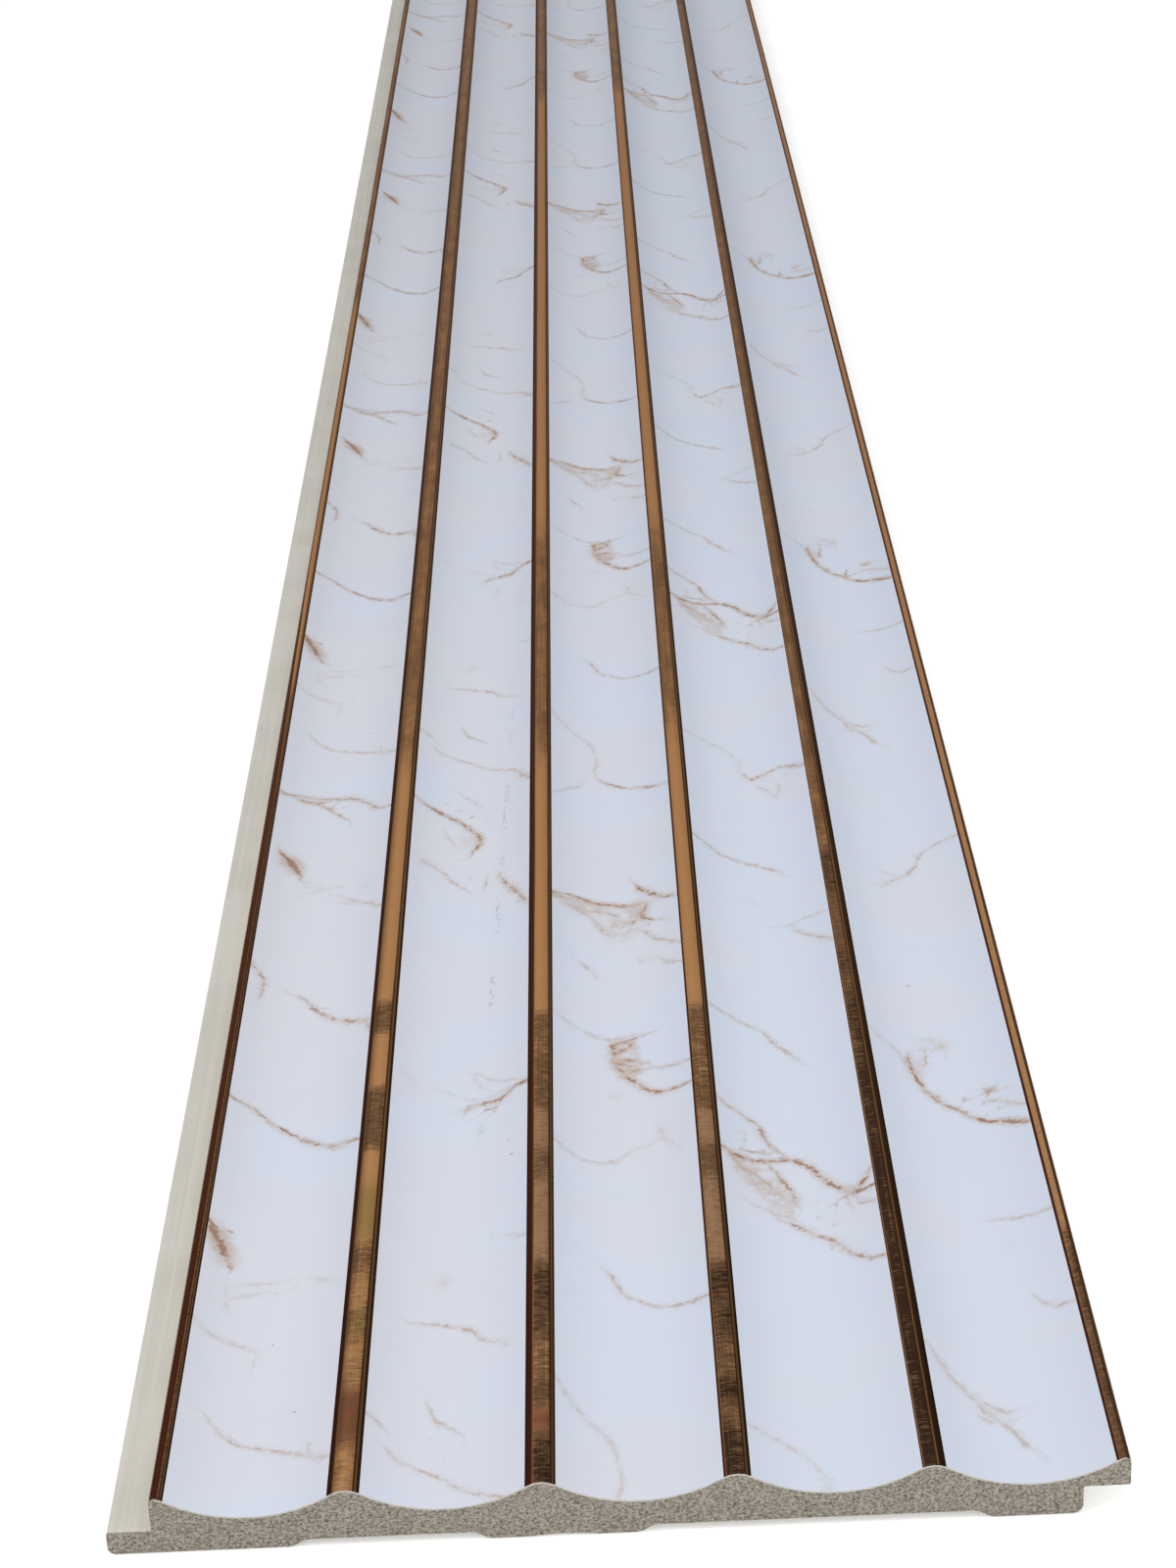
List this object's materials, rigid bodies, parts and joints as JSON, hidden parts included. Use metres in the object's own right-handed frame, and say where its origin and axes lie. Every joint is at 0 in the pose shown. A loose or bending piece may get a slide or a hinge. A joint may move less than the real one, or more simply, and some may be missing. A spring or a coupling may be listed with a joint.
{
  "type": "wall panel",
  "caption": "Long thin foamed polystyrene wall panel with concave flutes between rounded ridges, a tongue along one side and a rebated lip along the other.",
  "frame": {"origin": "under the middle of the overall width and length, level with the back pads", "axes": "+X across the panel from the tongue to the lip, +Y along its length, +Z out of the decorated face"},
  "size_m": [0.157, 2.9, 0.01],
  "materials": {
    "printed_foam": "satin white stone print in the flutes, copper foil on the ridges, bare beige foam where it is sawn"
  },
  "bodies": {
    "root": {"panel": "printed_foam"}
  },
  "joints": []
}
